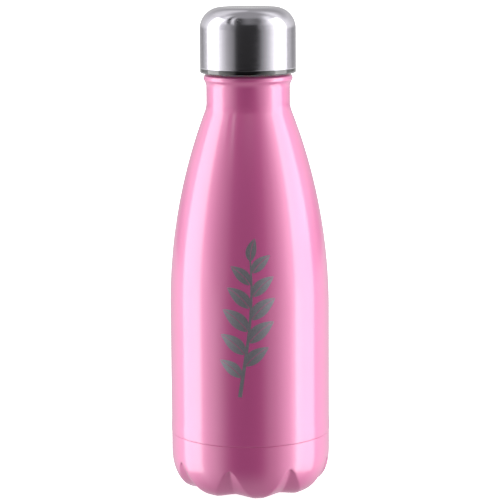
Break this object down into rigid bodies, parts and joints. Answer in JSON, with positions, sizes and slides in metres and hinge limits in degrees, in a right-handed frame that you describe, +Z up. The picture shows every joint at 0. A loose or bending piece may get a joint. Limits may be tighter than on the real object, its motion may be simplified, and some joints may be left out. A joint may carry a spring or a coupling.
{
  "type": "insulated drinking bottle",
  "caption": "Double-walled steel drinking bottle with a curved shoulder, a lobed base and a steel-capped screw stopper.",
  "frame": {"origin": "centre of the ring of feet, on the surface that the bottle stands on", "axes": "+Z up along the bottle's axis, -Y towards the front, where the ornament is, +X to the right seen from the front"},
  "size_m": [0.0672, 0.0672, 0.2031],
  "materials": {
    "lacquered_steel": "satin-gloss pink lacquer on steel",
    "sealing_glass": "fused solder glass",
    "liner_steel": "drawn stainless steel",
    "getter_metal": "pressed metal powder",
    "silicone": "translucent white silicone",
    "black_plastic": "gloss black polypropylene",
    "foam": "expanded polystyrene",
    "insert_plastic": "dark grey moulding",
    "brushed_cap_steel": "turned brushing around the cap"
  },
  "bodies": {
    "flask": {"outer_shell": "lacquered_steel", "outer_base": "lacquered_steel", "base_cover": "lacquered_steel", "port_seal": "sealing_glass", "liner": "liner_steel", "liner_base": "liner_steel", "getter": "getter_metal", "getter_clip": "liner_steel"},
    "seal": {"gasket": "silicone"},
    "cap": {"stopper": "black_plastic", "stopper_end_cap": "black_plastic", "stopper_foam": "foam", "cap_insert": "insert_plastic", "cap_shell": "brushed_cap_steel"}
  },
  "joints": [
    {"name": "cap_lift", "type": "slide", "parent": "flask", "child": "seal", "axis": [0, 0, 1], "range_m": [0, 0.0301]},
    {"name": "cap_turn", "type": "hinge", "parent": "seal", "child": "cap", "pos_m": [0, 0, 0.1778], "axis": [0, 0, 1], "range_deg": [0, 2160]}
  ],
  "couplings": [
    {"joint": "cap_lift", "follows": "cap_turn", "m_per_rad": 0.00079577}
  ]
}
